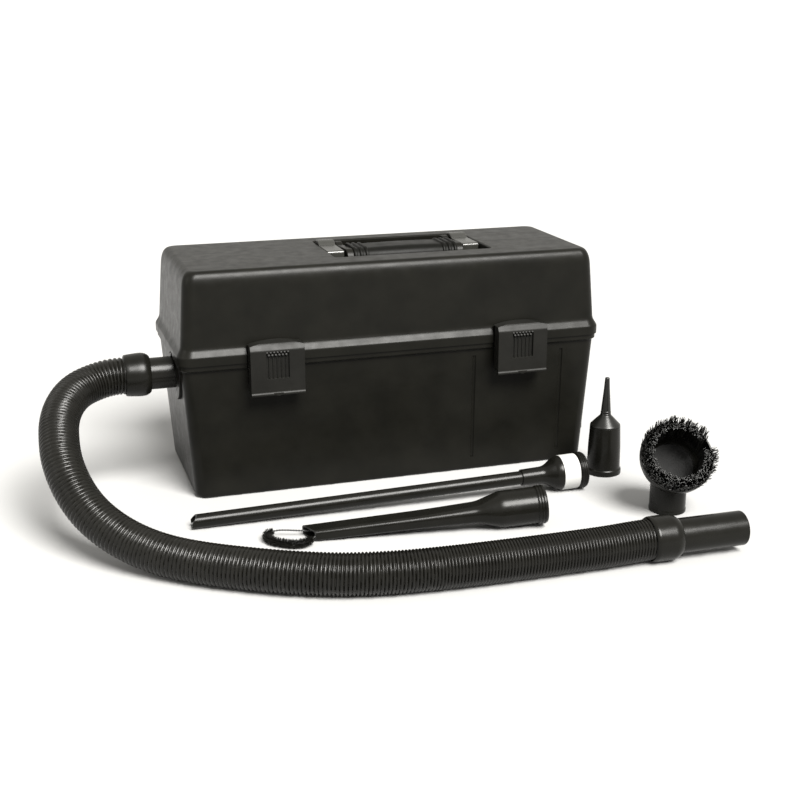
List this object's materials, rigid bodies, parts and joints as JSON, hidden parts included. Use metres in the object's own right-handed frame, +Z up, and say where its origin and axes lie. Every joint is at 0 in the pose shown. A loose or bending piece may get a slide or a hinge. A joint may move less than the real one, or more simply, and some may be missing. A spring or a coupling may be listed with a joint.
{
  "type": "toolbox vacuum and blower with hose and tools",
  "caption": "Black moulded toolbox-style portable vacuum and blower with hinged lid, latches, fold-flat handle, corrugated hose and loose cleaning tools.",
  "frame": {"origin": "centre of the case's flat bottom, on the floor", "axes": "+X to the case's right end seen from the latches, +Y to the hinge side, +Z up"},
  "size_m": [0.5995, 0.4496, 0.2255],
  "materials": {
    "case_black": "satin moulded",
    "inner_black": "satin",
    "grey_plastic": "satin",
    "bright_steel": "machined",
    "filter_paper": "matt folded",
    "seal_rubber": "matt",
    "copper_wire": "enamelled copper",
    "brass_parts": "satin",
    "soft_black": "matt",
    "foam_black": "open foam",
    "switch_black": "gloss",
    "grip_soft": "satin",
    "latch_black": "satin",
    "hose_black": "corrugated satin",
    "tool_black": "satin",
    "band_white": "plain satin band",
    "tip_black": "gloss",
    "bristle_black": "stiff bristle",
    "bracket_gloss": "gloss moulded",
    "wire_dark": "dark twisted wire"
  },
  "bodies": {
    "base": {"base_shell": "case_black", "inlet_port": "case_black", "outlet_port": "case_black", "inlet_duct": "inner_black", "motor_bulkhead": "inner_black", "motor_cradle": "inner_black", "deck_panel": "grey_plastic", "filter_frame": "grey_plastic", "stator": "grey_plastic", "deck_screws": "bright_steel", "bearings": "bright_steel", "inlet_contacts": "bright_steel", "hinge_pins": "bright_steel", "latch_pins": "bright_steel", "fan_shroud": "bright_steel", "motor_frame": "bright_steel", "filter_media": "filter_paper", "motor_gasket": "seal_rubber", "motor_mount_ring": "seal_rubber", "field_coils": "copper_wire", "brush_holders": "brass_parts", "carbon_brushes": "soft_black", "wire_harness": "soft_black", "exhaust_filter": "foam_black", "power_inlet": "switch_black", "switch_housing": "switch_black"},
    "rotor": {"motor_shaft": "bright_steel", "impeller_nut": "bright_steel", "impellers": "bright_steel", "armature": "grey_plastic", "commutator": "copper_wire"},
    "rocker": {"switch_rocker": "switch_black"},
    "lid": {"lid_shell": "case_black", "handle_brackets": "bracket_gloss", "lid_seal": "seal_rubber", "bracket_screws": "bright_steel", "handle_pins": "bright_steel"},
    "handle": {"handle_grip": "grip_soft", "handle_arms": "case_black"},
    "latch_left": {"latch_left": "latch_black"},
    "latch_right": {"latch_right": "latch_black"},
    "hose_set": {"hose": "hose_black", "hose_inlet_tube": "tool_black", "hose_inlet_cuff": "tool_black", "hose_tool_cuff": "tool_black", "hose_tool_tube": "tool_black"},
    "wand": {"wand_tube": "tool_black", "wand_adapter": "tool_black", "adapter_ring": "tool_black", "adapter_band": "band_white"},
    "crevice": {"crevice_tool": "tool_black", "crevice_ring": "tool_black"},
    "crevice_brush": {"crevice_brush_wire": "wire_dark", "crevice_brush_tufts": "bristle_black"},
    "nozzle": {"nozzle_body": "tool_black", "nozzle_tip": "tip_black"},
    "dusting_brush": {"dusting_brush_body": "tool_black", "dusting_brush_bristles": "bristle_black"}
  },
  "joints": [
    {"name": "lid_hinge", "type": "hinge", "parent": "base", "child": "lid", "pos_m": [0, 0.0898, 0.135], "axis": [-1, 0, 0], "range_deg": [0, 105]},
    {"name": "handle_fold", "type": "hinge", "parent": "lid", "child": "handle", "pos_m": [0.029, 0.036, 0.212], "axis": [-1, 0, 0], "range_deg": [0, 90]},
    {"name": "latch_left_swing", "type": "hinge", "parent": "base", "child": "latch_left", "pos_m": [-0.124, -0.089, 0.111], "axis": [1, 0, 0], "range_deg": [0, 100]},
    {"name": "latch_right_swing", "type": "hinge", "parent": "base", "child": "latch_right", "pos_m": [0.124, -0.089, 0.111], "axis": [1, 0, 0], "range_deg": [0, 100]},
    {"name": "rotor_spin", "type": "hinge", "parent": "base", "child": "rotor", "pos_m": [0.05, 0, 0.064], "axis": [1, 0, 0], "continuous": true},
    {"name": "switch_rock", "type": "hinge", "parent": "base", "child": "rocker", "pos_m": [0.208, -0.038, 0.1], "axis": [0, 1, 0], "range_deg": [0, 20]},
    {"name": "hose_pull", "type": "slide", "parent": "base", "child": "hose_set", "axis": [-1, 0, 0], "range_m": [0, 0.035]},
    {"name": "wand_lift", "type": "slide", "parent": "base", "child": "wand", "axis": [0, 0, 1], "range_m": [0, 0.05]},
    {"name": "crevice_lift", "type": "slide", "parent": "base", "child": "crevice", "axis": [0, 0, 1], "range_m": [0, 0.06]},
    {"name": "brush_pull", "type": "slide", "parent": "crevice", "child": "crevice_brush", "axis": [-0.9857, 0.1544, -0.068], "range_m": [0, 0.025]},
    {"name": "nozzle_lift", "type": "slide", "parent": "base", "child": "nozzle", "axis": [0, 0, 1], "range_m": [0, 0.06]},
    {"name": "dusting_lift", "type": "slide", "parent": "base", "child": "dusting_brush", "axis": [0, 0, 1], "range_m": [0, 0.06]}
  ]
}
